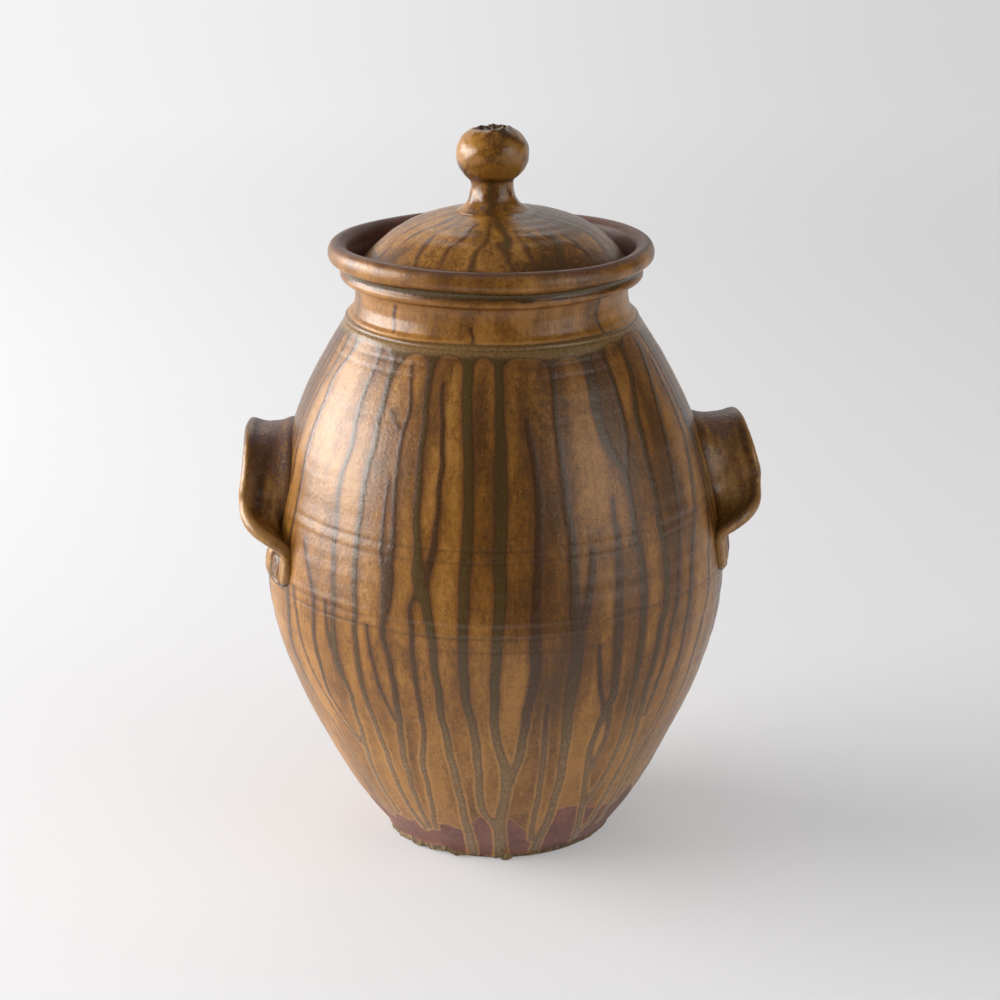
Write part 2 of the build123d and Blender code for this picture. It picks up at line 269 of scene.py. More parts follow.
# Runs of glaze on the front, followed down the picture.
# Each has its olive share and then its places in the picture: across, down, width
front_runs = (
    (0.3, (343, 334, 3), (332, 355, 3), (316, 385, 3), (303, 412, 3), (294, 446, 3)),
    (0.4, (349, 338, 3), (332, 367, 3), (311, 404, 3), (300, 432, 3), (291, 481, 3)),
    (0.5, (359, 337, 4), (350, 356, 4), (333, 374, 4), (325, 400, 4), (312, 431, 4), (301, 481, 4),
     (293, 520, 4), (289, 545, 4)),
    (0.7, (383, 340, 4), (376, 366, 4), (364, 393, 5), (357, 418, 5), (352, 446, 5), (341, 477, 5),
     (337, 510, 5), (334, 550, 6), (334, 590, 6), (333, 622, 6), (335, 648, 9), (338, 667, 9),
     (350, 690, 5), (357, 718, 5), (363, 735, 6), (370, 760, 6), (382, 788, 5), (398, 812, 5)),
    (0.8, (395, 344, 6), (395, 366, 7), (388, 386, 7), (383, 408, 6), (374, 447, 6), (366, 477, 6),
     (361, 512, 6), (357, 540, 6), (355, 570, 6), (356, 600, 6), (356, 640, 6), (361, 682, 6),
     (370, 711, 6), (381, 738, 6), (388, 757, 6), (396, 780, 6), (407, 804, 6), (424, 828, 6)),
    (0.5, (408, 352, 3), (402, 363, 3), (395, 368, 3)),
    (0.1, (411, 366, 3), (411, 386, 3), (412, 410, 4), (405, 428, 4), (399, 452, 4), (396, 491, 4),
     (394, 533, 5), (391, 560, 8), (388, 580, 13), (387, 602, 12), (384, 617, 7), (382, 632, 6),
     (386, 648, 6), (391, 665, 6), (396, 698, 7), (400, 725, 7), (403, 755, 7), (409, 776, 6),
     (417, 802, 5), (429, 827, 5)),
    (0.1, (389, 412, 3), (396, 423, 3), (404, 428, 3)),
    (0.0, (389, 480, 3), (384, 520, 4), (381, 556, 5), (387, 582, 6)),
    (0.9, (430, 347, 9), (434, 361, 8), (430, 378, 7), (426, 408, 6), (427, 424, 6), (421, 452, 6),
     (419, 488, 7), (417, 520, 7), (418, 555, 8), (420, 583, 14), (424, 596, 13), (428, 614, 9),
     (432, 638, 8), (435, 668, 7), (439, 697, 7), (445, 730, 7), (450, 756, 7), (457, 783, 7),
     (464, 814, 7), (469, 832, 8), (473, 852, 9)),
    (0.0, (443, 384, 3), (442, 403, 4), (443, 431, 5), (443, 463, 5), (439, 500, 5), (436, 540, 6),
     (430, 563, 8), (424, 583, 9)),
    (0.2, (417, 592, 5), (410, 604, 5), (411, 625, 5), (412, 650, 5), (415, 675, 5), (421, 710, 5),
     (425, 733, 5), (422, 757, 6), (426, 780, 5), (432, 805, 5), (436, 828, 5)),
    (1.0, (467, 350, 13), (468, 365, 10), (467, 400, 10), (469, 440, 10), (469, 500, 10), (467, 560, 11),
     (464, 590, 11), (463, 640, 9), (464, 680, 9), (467, 708, 8), (474, 731, 8), (478, 757, 8),
     (479, 785, 7), (481, 808, 7), (489, 820, 7), (498, 826, 8)),
    (0.8, (499, 350, 12), (499, 366, 8), (499, 402, 8), (501, 435, 10), (500, 480, 14), (500, 521, 13),
     (500, 560, 13), (501, 600, 12), (497, 640, 10), (495, 685, 9), (494, 722, 8), (498, 745, 8),
     (504, 766, 9), (507, 783, 10), (504, 800, 9), (500, 826, 10), (500, 857, 12)),
    (0.0, (526, 420, 4), (531, 446, 7), (536, 474, 8), (539, 500, 8), (538, 560, 8), (536, 600, 9),
     (535, 640, 11), (536, 665, 11), (533, 690, 10), (526, 714, 9), (523, 740, 8), (517, 765, 8),
     (509, 782, 8)),
    (0.1, (547, 705, 4), (545, 733, 5), (543, 760, 5), (541, 779, 5), (536, 805, 5), (532, 826, 5),
     (532, 838, 6)),
    (0.5, (550, 356, 7), (552, 372, 6), (556, 426, 6), (562, 470, 7), (568, 510, 8), (572, 545, 9),
     (574, 590, 10), (577, 625, 13), (577, 655, 14), (572, 685, 13), (567, 714, 11), (565, 745, 9),
     (561, 772, 8), (554, 797, 8), (546, 825, 8), (536, 842, 8), (533, 852, 9)),
    (0.2, (593, 550, 6), (591, 581, 8), (588, 606, 9), (582, 625, 9)),
    (0.9, (584, 352, 10), (590, 366, 13), (593, 386, 14), (597, 412, 12), (606, 441, 11), (619, 463, 8),
     (626, 476, 7), (632, 507, 6), (636, 536, 7), (643, 565, 9), (644, 600, 9), (641, 640, 8),
     (634, 680, 7), (628, 707, 7), (622, 735, 7), (612, 760, 6), (601, 778, 6), (592, 792, 6),
     (585, 800, 6)),
    (0.7, (598, 347, 7), (608, 367, 6), (616, 394, 6), (624, 420, 6), (627, 445, 6), (627, 470, 6)),
    (0.1, (600, 646, 4), (599, 672, 5), (600, 692, 5), (603, 708, 5)),
    (0.3, (612, 500, 4), (617, 530, 6), (619, 565, 8), (619, 600, 9), (618, 635, 10), (616, 668, 9),
     (612, 695, 9), (606, 712, 10), (598, 724, 7), (591, 743, 7), (587, 762, 7), (585, 780, 6),
     (582, 798, 6), (579, 818, 6), (572, 838, 7)),
    (0.3, (609, 712, 6), (606, 733, 6), (599, 752, 6), (590, 768, 6)),
    (0.9, (620, 343, 6), (628, 362, 7), (634, 388, 8), (638, 420, 8), (647, 458, 8), (655, 490, 9),
     (660, 520, 10), (665, 545, 11), (668, 575, 10), (665, 606, 9), (660, 630, 8), (655, 655, 7),
     (646, 684, 7), (639, 712, 7), (632, 738, 6), (623, 761, 6), (611, 781, 6), (600, 802, 6),
     (588, 822, 6), (578, 830, 6)),
    (0.8, (639, 344, 6), (650, 376, 6), (658, 408, 6), (667, 446, 7), (675, 484, 7), (680, 515, 7),
     (680, 550, 6), (678, 582, 6), (676, 606, 5), (670, 630, 5), (663, 662, 5), (655, 686, 5),
     (645, 713, 5)),
    (0.7, (652, 358, 5), (668, 391, 5), (680, 420, 5), (690, 460, 6), (694, 500, 6), (693, 545, 6),
     (690, 590, 6), (684, 631, 5), (676, 666, 5), (663, 700, 4), (646, 733, 4), (634, 753, 4),
     (622, 778, 4), (608, 803, 4), (598, 820, 4)),
    (0.4, (671, 378, 4), (687, 419, 4), (700, 456, 4), (707, 500, 4), (709, 556, 4), (708, 590, 4),
     (702, 620, 4), (693, 652, 4), (684, 681, 4), (666, 716, 4), (646, 747, 4), (626, 780, 4)),
    (0.6, (287, 588, 7), (289, 612, 7), (292, 644, 6), (303, 671, 5), (317, 698, 5), (336, 724, 4),
     (349, 747, 4), (361, 768, 4), (375, 790, 4), (392, 814, 4)),
    (0.4, (293, 587, 3), (297, 616, 3), (304, 650, 3), (321, 687, 3), (340, 719, 4), (361, 742, 4)),
    (0.1, (304, 540, 5), (308, 565, 6), (314, 598, 6), (314, 632, 5), (321, 667, 5), (330, 696, 4),
     (350, 726, 4), (365, 744, 4)),
    (0.1, (325, 600, 4), (327, 625, 4), (331, 646, 5)),
    (0.1, (366, 625, 3), (370, 650, 4), (379, 684, 4), (389, 710, 4), (395, 720, 4)),
)


def smoothed(values, spread):
    """The row of numbers, blurred, its ends held."""
    reach = int(3 * spread)
    weights = np.exp(-0.5 * (np.arange(-reach, reach + 1) / spread) ** 2)
    return np.convolve(np.pad(values, reach, mode="edge"), weights / weights.sum(), mode="valid")


class Run:
    """One run of glaze: its angle and half width at each height, from top to bottom."""

    def __init__(self, heights, angles, widths, olive):
        order = np.argsort(heights)
        heights, angles, widths = np.array(heights)[order], np.array(angles)[order], np.array(widths)[order]
        self.low, self.high, self.olive = heights[0], heights[-1], olive
        self.grid = np.arange(math.floor(self.low), math.ceil(self.high) + 1.0)
        radius = wall_radius(np.clip(self.grid, 3, shoulder_height))
        waver = make_ripple(4, 0, 20.0)(0.0, self.grid) * 0.25 / radius
        self.angles = smoothed(np.interp(self.grid, heights, np.unwrap(angles)), 4) + waver
        self.halves = smoothed(np.interp(self.grid, heights, widths), 3) / 2

    def distance(self, angle, height, radius):
        """Distance in millimetres from the run's edge, negative inside it."""
        inside = np.clip(height, self.low, self.high)
        aside = wrapped(angle - np.interp(inside, self.grid, self.angles))
        return np.hypot(aside * radius, height - inside) - np.interp(inside, self.grid, self.halves)


def picture_scale(height):
    """Pixels to a millimetre on the front of the wall."""
    return 1.484 + 0.121 * height / 390


# The same for heights, which the camera sees foreshortened
height_scale = 1.45


def front_wall_runs():
    """The runs of the front, from their places in the picture."""
    made = []
    for olive, *places in front_runs:
        heights, angles, widths = [], [], []
        for across, down, width in places:
            angle, height = wall_spot(across, down)
            angles.append(angle)
            heights.append(height)
            widths.append(width / picture_scale(height))
        made.append(Run(heights, angles, widths, olive))
    return made


def back_wall_runs():
    """Runs on the sides and back: trunks from ring to foot, with side runs that join them lower down."""
    made = []
    first, last, trunks = front_angle + math.radians(74), front_angle + math.radians(286), 22
    for trunk in range(trunks):
        middle = first + (last - first) * (trunk + draws.uniform(0.2, 0.8)) / trunks
        heights = np.linspace(shoulder_height, 1, 9)
        angles = middle + np.cumsum(draws.normal(0, 0.008, 9))
        widths = np.linspace(draws.uniform(4, 7), draws.uniform(4, 6), 9) * draws.uniform(0.8, 1.25, 9)
        made.append(Run(heights, angles, widths, draws.choice([0.1, 0.5, 0.8, 0.9, 1.0])))
        follow = smooth_curve(heights[::-1], angles[::-1])
        for side in draws.permutation([-1, 1])[:draws.integers(1, 3)]:
            top = draws.choice([shoulder_height, draws.uniform(170, 310)])
            low = draws.uniform(12, 120)
            places = np.linspace(top, low, 8)
            aside = side * draws.uniform(0.05, 0.08) * smooth_step(places, low, low + draws.uniform(35, 90))
            size = draws.uniform(2, 4)
            made.append(Run(places, follow(places) + aside + draws.normal(0, 0.003, 8),
                            size * draws.uniform(0.8, 1.3, 8), draws.choice([0.0, 0.1, 0.3, 0.6])))
    return made


def joined(first, second, spread):
    """The smaller of two distances, with a soft fillet where they meet."""
    share = np.clip(spread - np.abs(first - second), 0, None) / spread
    return np.minimum(first, second) - share * share * spread / 4


def run_fields(runs, angle, height, radius):
    """Distance to the nearest run, and that run's olive share, over a grid."""
    shape = np.broadcast(angle, height).shape
    distance, weight, olive = np.full(shape, 30.0), np.full(shape, 1e-6), np.full(shape, 0.5e-6)
    for run in runs:
        rows = np.nonzero((height[:, 0] > run.low - 25) & (height[:, 0] < run.high + 25))[0]
        if not len(rows):
            continue
        part = slice(rows[0], rows[-1] + 1)
        near = run.distance(angle, height[part], radius[part])
        distance[part] = joined(distance[part], near, 3.0)
        pull = np.exp(-np.clip(near, -6, 30) / 1.2)
        weight[part] += pull
        olive[part] += pull * run.olive
    return distance, olive / weight


# Places where the wall is browner between the runs, partly real staining and partly painted shade
# of the middle and right, away from the window lamp: across, down, width, height, depth of colour
stains_and_painted_shade = (
    (530, 500, 34, 120, 0.9), (560, 400, 60, 70, 0.25), (590, 620, 34, 60, 0.35), (640, 430, 50, 110, 0.7),
    (530, 610, 40, 60, 0.4), (680, 520, 40, 110, 0.6), (485, 440, 14, 90, 0.6), (556, 650, 26, 60, 0.5),
    (600, 520, 60, 120, 0.15), (425, 560, 10, 50, 0.6), (387, 570, 10, 50, 0.5), (448, 470, 12, 80, 0.35),
    (655, 600, 16, 50, 0.5), (545, 690, 14, 30, 0.8), (604, 690, 8, 30, 0.6), (585, 350, 50, 18, 0.6),
)
# Turned lines: height, strength
turned_lines = ((331.5, 0.8), (325.0, 0.7), (233.5, 1.0), (226.0, 1.0), (187.0, 1.6), (180.2, 1.6),
                (172.5, 0.9), (163.0, 0.35), (134.0, 0.3), (98.0, 0.25), (256.0, 0.4), (302.0, 0.3))

# Steps round the axis
wall_spokes = 720
lid_spokes = 540
ring_spokes = 360
knob_spokes = 256


def make_body():
    """The pot up to its joint ring: runs, stains, painted shade, turned lines, bare edge and crusty foot.
    """
    inner_heights = np.linspace(shoulder_height, 22, 60)
    wall = evenly([(float(wall_radius(z)), z) for z in np.linspace(2.5, shoulder_height, 1200)], 1.2)
    inside = [(float(wall_radius(z)) - wall_thickness, z) for z in inner_heights]
    base = np.array([(0, 0), (30, 0), (60, 0), (71.0, 0), (72.6, 0.4), (73.5, 1.3)])
    joint = np.array([(89, shoulder_height), (86, shoulder_height)])
    floor = np.array([(70, 15.5), (62, 13), (50, 12.2), (25, 12), (0, 12)])
    outline = np.concatenate([base, wall, joint, evenly(inside, 5.5), floor])
    grid = Turned(outline, wall_spokes)
    first = len(base)
    last = first + len(wall)
    outer = slice(first, last)
    angle, height, radius = grid.places()
    height, radius = height[outer], radius[outer]

    runs = front_wall_runs() + back_wall_runs()
    distance, olive = run_fields(runs, angle, height, radius)
    ring_edge = 336.8 + 1.1 * make_ripple(6, 9, 400)(angle, height)
    ring_edge = ring_edge + 1.2 * np.cos(angle - front_angle + 0.35)
    ring = (ring_edge - height) * 1.25
    distance = joined(distance, ring, 9.0)
    olive = olive + (0.95 - olive) * smooth_step(ring, 7, 0)

    brown = 0.24 + 0.13 * make_ripple(14, 26, 160)(angle, height)
    brown = brown + 0.1 * make_ripple(10, 60, 60)(angle, height)
    # Browner patches on the front: partly real staining, partly painted shade away from the window lamp
    for across, down, wide, tall, depth in stains_and_painted_shade:
        middle, level = wall_spot(across, down)
        aside = wrapped(angle - middle) * radius * picture_scale(level) / wide
        away = (height - level) * height_scale / tall
        brown = brown + 0.48 * depth * np.exp(-(aside**2) * 1.1 - away**2)
    for _ in range(26):
        middle, level = front_angle + draws.uniform(1.3, 5.0), draws.uniform(90, 300)
        aside = wrapped(angle - middle) * radius / draws.uniform(7, 22)
        away = (height - level) / draws.uniform(30, 80)
        brown = brown + draws.uniform(0.15, 0.5) * np.exp(-aside**2 - away**2)
    upper = smooth_step(height, 60, 190)
    brown = np.clip(brown + 0.24 * upper * np.exp(-np.clip(distance, 0, 40) / 2.2), 0, 1.2)

    bare_edge = 33 + 6 * make_ripple(8, 14, 500)(angle, height) + 4 * make_ripple(8, 36, 300)(angle, height)
    bare_edge = bare_edge + 9 * smooth_step(np.cos(angle - front_angle - 0.6), 0.6, 1)
    bare = np.maximum((height - bare_edge) * 1.1, 1.3 - distance)

    lines, cut = np.zeros(bare.shape), np.zeros(bare.shape)
    waver = 0.5 * make_ripple(4, 3, 900)(angle, height)
    for level, strength in turned_lines:
        off = height - level - waver - 0.8 * np.cos(angle - level)
        patch = smooth_step(make_ripple(5, 5, 900)(angle, height), -1.4, 0.2)
        line = strength * np.exp(-((off / 0.75) ** 2))
        cut += line * (0.55 + 0.45 * patch) - 0.5 * strength * np.exp(-(((off - 2.6) / 1.5) ** 2))
        lines = np.maximum(lines, line * patch)

    crust_top = 6.0 + 1.1 * make_ripple(8, 24, 900)(angle, height)
    lumps = 0.8 + 0.2 * make_ripple(14, 44, 9)(angle, height)
    lumps = lumps + 0.13 * make_ripple(16, 100, 4)(angle, height)
    crust = np.clip(lumps, 0, 1.3) * smooth_step(height, crust_top, crust_top - 3.5)
    heavy = 0.55 + 0.6 * smooth_step(np.cos(angle - front_angle + 0.6), 0.6, 1.0)
    heavy = heavy + 0.35 * smooth_step(make_ripple(6, 8, 900)(angle, height), 0.4, 1.4)
    throwing = 0.055 * make_ripple(9, 1, 9.0)(angle, height) + 0.08 * make_ripple(6, 2, 30.0)(angle, height)
    swell = 0.35 * make_ripple(5, 3, 160)(angle, height)
    fade = smooth_step(height, shoulder_height, 334) * smooth_step(height, 3, 12)
    relief = 0.18 * smooth_step(distance, 1.4, -2.0) - 0.12 * smooth_step(bare, 0.3, -0.5)
    relief = relief * smooth_step(height, shoulder_height, 339)
    shift = (throwing + swell) * fade + relief - 0.2 * cut * fade
    grid.shift[outer] = shift + 2.4 * crust * heavy

    pale = np.maximum(smooth_step(height, 150, 80), 0.9 * smooth_step(ring, 3, -2))
    fields = {}
    blank = np.zeros((len(outline), grid.spokes))
    for name, values, rest in (("run", distance, 12.0), ("olive", olive, 0.5), ("brown", brown, 0.5),
                               ("bare", bare, 9.0), ("line", lines, 0.0), ("pale", pale, 0.0)):
        whole = blank + rest
        whole[outer] = values
        fields[name] = whole
    crusty = blank + 0.0
    crusty[outer] = np.clip(crust * 1.6 + 0.8 * smooth_step(height, 3.5, 1.5), 0, 1)
    crusty[:first] = 0.5
    fields["crust"] = crusty
    inside_part = slice(last, len(outline))
    fields["bare"][inside_part] = -9.0
    fields["brown"][inside_part] = 0.95
    return grid.build("glazed_body", fields, poles=True)


def band(height, low, high, soft):
    """Distance from a level band, negative inside it."""
    middle, half = (low + high) / 2, (high - low) / 2
    return (np.abs(height - middle) - half) * soft


def make_neck():
    """The neck and rolled rim: a dark groove under the lip, and bare clay from the lip inwards."""
    outline = rounded([
        (92.4, 341.0), (92.4, 342.2), (91.6, 343.4), (90.2, 343.7), (90.0, 345.0), (88.9, 345.8),
        (87.2, 347.0), (86.2, 350.5), (85.4, 355.5), (85.6, 360.0), (86.4, 363.8), (87.4, 365.8),
        (91.2, 366.3), (93.3, 367.2), (94.5, 368.8), (94.4, 370.6), (93.2, 372.0), (93.0, 374.2),
        (93.8, 375.8), (96.4, 376.9), (99.6, 377.9), (101.7, 380.2), (102.0, 383.6), (101.0, 386.6),
        (99.2, 388.8), (96.6, 389.8), (93.6, 389.0), (91.0, 387.2), (89.8, 384.6), (88.8, 379.0),
        (87.6, 371.0), (87.2, 369.2), (86.2, 368.9), (78.0, 368.9), (76.2, 368.4), (76.0, 366.0),
        (76.0, 355.5), (77.2, 350.0), (80.4, 345.0), (83.4, 341.2), (84.6, 341.0), (91.6, 341.0),
    ], 2)
    outline = evenly(np.concatenate([outline, outline[:1]]), 0.85)[:-1]
    grid = Turned(outline, wall_spokes)
    angle, height, radius = grid.places()
    outer = grid.out_radius[:, None] + 0.25 * grid.out_height[:, None] > 0
    outside = np.where((radius > 84.5) & (height < 389.9) & outer, 1.0, 0.0)
    slow, quick = make_ripple(7, 7, 500), make_ripple(10, 40, 60)
    side = np.cos(angle - front_angle)

    low_ring = band(height, 330, 343.8 + 0.5 * slow(angle, height), 1.0)
    cove = band(height, 371.6 + 0.5 * quick(angle, height), 377.2 + 0.6 * slow(angle, height), 1.0)
    under = band(height, 365.2, 366.6, 1.3)
    distance = np.minimum(np.minimum(low_ring, cove + 0.3), under + 0.5)
    distance = np.where(outside > 0, distance, 12.0)
    for across, start, end, wide in ((388, 362, 347, 2.2), (606, 366, 345, 2.4), (470, 353, 345, 2.0)):
        place, _ = wall_spot(across, 340)
        sweep = place + 0.012 * np.sin(height * 0.35)
        aside = wrapped(angle - sweep) * radius
        drop = np.hypot(aside, height - np.clip(height, end, start)) - wide / 2
        distance = joined(distance, np.where(outside > 0, drop, 12.0), 2.0)

    brown = 0.1 + 0.14 * slow(angle, height) + 0.12 * quick(angle, height)
    brown = brown + 0.16 * smooth_step(height, 377, 383) * outside
    brown = np.clip(brown + 0.12 * smooth_step(side, -0.2, 0.9) * smooth_step(height, 345, 352), 0, 1.1)
    top = 388.3 - 0.4 * slow(angle, height) + 0.25 * quick(angle, height)
    bare = np.where(outside > 0, (top - height) * 0.32 + 0.2, 6.0)
    inner = outside == 0
    bare = np.where(inner, -9.0, bare)
    brown = np.where(inner, 0.95, brown)

    grid.shift[:] = (0.1 * make_ripple(8, 2, 7.0)(angle, height) + 0.25 * slow(angle, height * 0.2)
                     + 0.12 * smooth_step(distance, 0.8, -1.4)) * np.where(height < 342.5, 0, 1)
    sway = 0.5 * np.cos(2 * (angle - 0.4)) + 0.25 * np.cos(3 * (angle - 1.9))
    grid.slide[..., 2] += sway * smooth_step(height, 360, 388)
    dark = np.where(inner, 1.0, 1.2 * smooth_step(height, 387.4, 388.8))
    fields = {"run": distance, "olive": 0.9, "brown": brown, "bare": bare, "line": dark,
              "pale": 0.85 * smooth_step(height, 350, 344)}
    return grid.build("glazed_neck", fields, poles=False)


# Streaks on the lid: degrees round from the camera, start and end radius, width at both ends,
# olive share, bend
lid_streaks = (
    (-72, 22, 82, 2.0, 2.5, 0.2, 4), (-58, 30, 80, 1.6, 2.2, 0.1, -3), (-41, 34, 83, 2.0, 1.8, 0.1, 4),
    (-24, 38, 80, 1.6, 2.2, 0.1, 3), (-9, 30, 82, 1.8, 2.4, 0.3, -3), (4, 17, 60, 8.0, 3.2, 1.0, 2),
    (5, 58, 83, 3.0, 2.2, 0.3, 3), (17, 46, 82, 1.6, 2.2, 0.1, 2), (34, 17, 84, 4.0, 7.0, 0.8, -4),
    (44, 42, 70, 3.0, 4.0, 0.5, -9), (53, 36, 82, 2.0, 3.0, 0.3, 3), (68, 20, 84, 5.5, 8.0, 0.6, 5),
    (82, 26, 84, 3.0, 5.0, 0.5, 3), (99, 20, 80, 2.0, 3.0, 0.3, -4), (118, 24, 82, 3.0, 5.0, 0.8, 4),
    (139, 18, 84, 2.0, 3.5, 0.4, 3), (160, 30, 80, 2.4, 3.0, 0.1, -3), (181, 17, 83, 4.0, 5.0, 0.9, 4),
    (200, 34, 82, 1.8, 2.6, 0.2, 3), (219, 20, 84, 3.0, 4.0, 0.6, -4), (238, 32, 80, 2.0, 2.4, 0.1, 3),
    (257, 22, 82, 3.0, 4.0, 0.5, 4), (272, 40, 83, 1.8, 2.4, 0.2, -3),
)


def make_lid():
    """The hollow dome with its streaks and its bare edge."""
    dome = smooth_curve((0, 17.6, 34, 50, 62.1, 71.9, 79.2, 84.2),
                        (409.9, 409.4, 406.3, 401.7, 396.1, 388.6, 381.3, 375))
    under = smooth_curve((0, 20, 40, 55, 67.6), (402.6, 401.6, 398.0, 391.6, 381.8))
    top = evenly([(r, float(dome(r))) for r in np.linspace(0, 84.2, 200)], 1.0)
    edge = evenly(rounded([(84.2, 375.0), (84.8, 373.4), (84.8, 370.6), (84.0, 369.2), (82.6, 368.95),
                           (75.5, 368.95)], 2), 0.8)
    hollow = [(r, float(under(r))) for r in np.linspace(67.6, 0, 40)]
    flange = rounded([(74.0, 368.95), (68.2, 368.95), (67.6, 369.6), (67.6, 381.8)], 1)
    outline = np.concatenate([top[:-1], edge, evenly(flange, 2.0)[:-1], evenly(hollow, 3.0)])[::-1]
    outline[0, 0] = outline[-1, 0] = 0
    grid = Turned(outline, lid_spokes)
    angle, height, radius = grid.places()
    outside = np.arange(len(outline))[:, None] > len(outline) - len(top) - len(edge)
    distance = 12.0 + 0 * (angle + radius)
    weight, tone = 1e-6 + 0 * distance, 0.5e-6 + 0 * distance
    slow, quick = make_ripple(8, 6, 40), make_ripple(12, 30, 20)
    for degrees, start, end, wide, wide_end, share, bend in lid_streaks:
        along = np.clip(radius, start, end)
        part = (along - start) / (end - start)
        middle = front_angle + math.radians(degrees) + math.radians(bend) * np.sin(part * 4.5 + degrees)
        middle = middle + 0.012 * np.sin(part * 15 + degrees * 2)
        aside = wrapped(angle - middle) * radius
        half = (wide + (wide_end - wide) * part) / 2
        near = np.hypot(aside, radius - along) - half + 0.9 * quick(angle, radius)
        distance = joined(distance, near, 2.5)
        pull = np.exp(-np.clip(near, -6, 30) / 1.2)
        weight, tone = weight + pull, tone + pull * share
    hoop = np.abs(radius - 77.0 - 1.2 * slow(angle, radius)) - 0.7 + 0.6 * quick(angle, radius)
    distance = joined(distance, hoop + 0.3, 2.0)
    foot = radius - 21 + 1.6 * quick(angle, radius)
    distance = joined(distance, foot * 0.5 + 1.0, 3.0)
    distance = np.where(outside, distance, 12.0)
    side = np.cos(angle - front_angle - math.radians(75))
    brown = 0.2 + 0.13 * slow(angle, radius) + 0.12 * quick(angle, radius)
    # Painted shade: the lid is browner on its right-hand side, away from the window lamp on the left
    brown = brown + 0.45 * smooth_step(side, 0.3, 1)
    bare = np.where(outside, (83.2 - radius) * 1.2 + 0.4 * quick(angle, radius), 6.0)
    brown = np.clip(np.where(outside, brown, 0.8), 0, 1.1)

    throwing = 0.08 * make_ripple(8, 1, 8.0)(angle, radius) + 0.3 * make_ripple(5, 3, 60)(angle, radius)
    relief = 0.14 * smooth_step(distance, 1.2, -1.6)
    grid.shift[:] = (throwing * smooth_step(radius, 16, 26) + relief) * np.where(outside, 1, 0)
    fuller = 2.0 * np.sin(np.clip((radius - 18) / (84 - 18), 0, 1) * math.pi) * np.where(outside, 1, 0)
    grid.move_right(fuller + lid_aside)
    fields = {"run": distance, "olive": tone / weight, "brown": brown, "bare": bare}
    return grid.build("glazed_lid", fields, poles=True)


def make_lid_ring():
    """The ring below the lid that keeps it in the mouth."""
    outline = rounded([(74.6, 369.6), (73.6, 368.4), (73.5, 366.0), (73.5, 358.5), (73.1, 356.6),
                       (72.0, 356.0), (69.0, 356.0), (67.9, 356.7), (67.5, 358.5), (67.5, 366.0),
                       (67.4, 368.4), (67.0, 369.6)], 2)
    outline = evenly(np.concatenate([outline, outline[:1]]), 1.2)[:0:-1]
    grid = Turned(outline, ring_spokes)
    angle, height, _ = grid.places()
    grid.shift[:] = 0.12 * make_ripple(8, 4, 6.0)(angle, height) * np.where(height < 368.5, 1, 0)
    grid.move_right(lid_aside)
    fields = {"run": 12.0, "brown": 0.7, "bare": 6.0}
    return grid.build("lid_seat_ring", fields, poles=False)


def make_knob():
    """The ball knob on its stem, with a blistered crater on top."""
    outline = rounded([
        (0, 407.6), (16.0, 407.6), (24.0, 407.9), (21.4, 409.4), (18.8, 410.8), (17.0, 412.4),
        (15.4, 414.8), (14.2, 417.6), (13.4, 420.4), (13.1, 423.0), (13.2, 425.6), (13.6, 427.6),
        (15.0, 428.8), (17.2, 430.6), (19.8, 433.8), (21.9, 438.2), (22.9, 443.2), (22.7, 447.4),
        (21.3, 451.4), (18.8, 454.8), (16.2, 457.0), (13.8, 458.4), (12.0, 459.2), (10.6, 459.5),
        (9.4, 459.0), (8.4, 457.8), (6.0, 457.2), (0, 457.4)], 2)
    outline = evenly(outline, 0.5)
    outline[0, 0] = outline[-1, 0] = 0
    grid = Turned(outline, knob_spokes)
    angle, height, radius = grid.places()
    slow, quick, fine = make_ripple(8, 3, 24), make_ripple(12, 12, 7), make_ripple(16, 26, 3.2)
    crater = smooth_step(height, 455.8, 457.6) * smooth_step(radius, 13.5, 10.5)
    neck_line = np.abs(height - 428.4 - 0.4 * slow(angle, height)) - 0.7
    foot_line = np.abs(height - 414.8 - 0.2 * slow(angle, height)) + 0.3
    distance = joined(neck_line, foot_line, 1.5)
    aside = wrapped(angle - front_angle + 0.05 * np.sin(height)) * radius
    drop = np.hypot(aside + 1.5, height - np.clip(height, 410, 428)) - 1.6
    distance = joined(distance, drop, 2.0)
    distance = joined(distance, (0.8 - crater) * 6 + quick(angle, height), 2.0)
    brown = 0.36 + 0.2 * slow(angle, height) + 0.16 * quick(angle, height) + 0.5 * crater
    brown = np.clip(brown - 0.2 * smooth_step(height, 430, 424), 0, 1.1)
    bare = 4.0 + 1.4 * make_ripple(8, 4, 14)(angle, height) + 0.7 * quick(angle, height) - 2.0 * crater
    blisters = crater * (0.3 * quick(angle, height) + 0.14 * fine(angle, height))
    grid.shift[:] = 0.25 * slow(angle, height) + 0.1 * quick(angle, height) + blisters
    grid.shift *= smooth_step(radius, 0, 7)
    grid.move_right(knob_aside)
    crust = crater * smooth_step(fine(angle, height), 0.2, 1.4)
    fields = {"run": distance, "olive": 0.4 + 0.3 * slow(angle, height), "brown": brown, "bare": bare,
              "line": crater * smooth_step(quick(angle, height), 0.9, 1.5), "crust": crust}
    return grid.build("glazed_knob", fields, poles=True)


# Handles: the same strap as in the solids, in finer steps
arch_rise = 31.0
handle_drop = 85.0
handle_swing = 5.0
strap_thickness = 9.0
strap_embed = 3.0
root_depth = 2.0
fan_share = 0.4
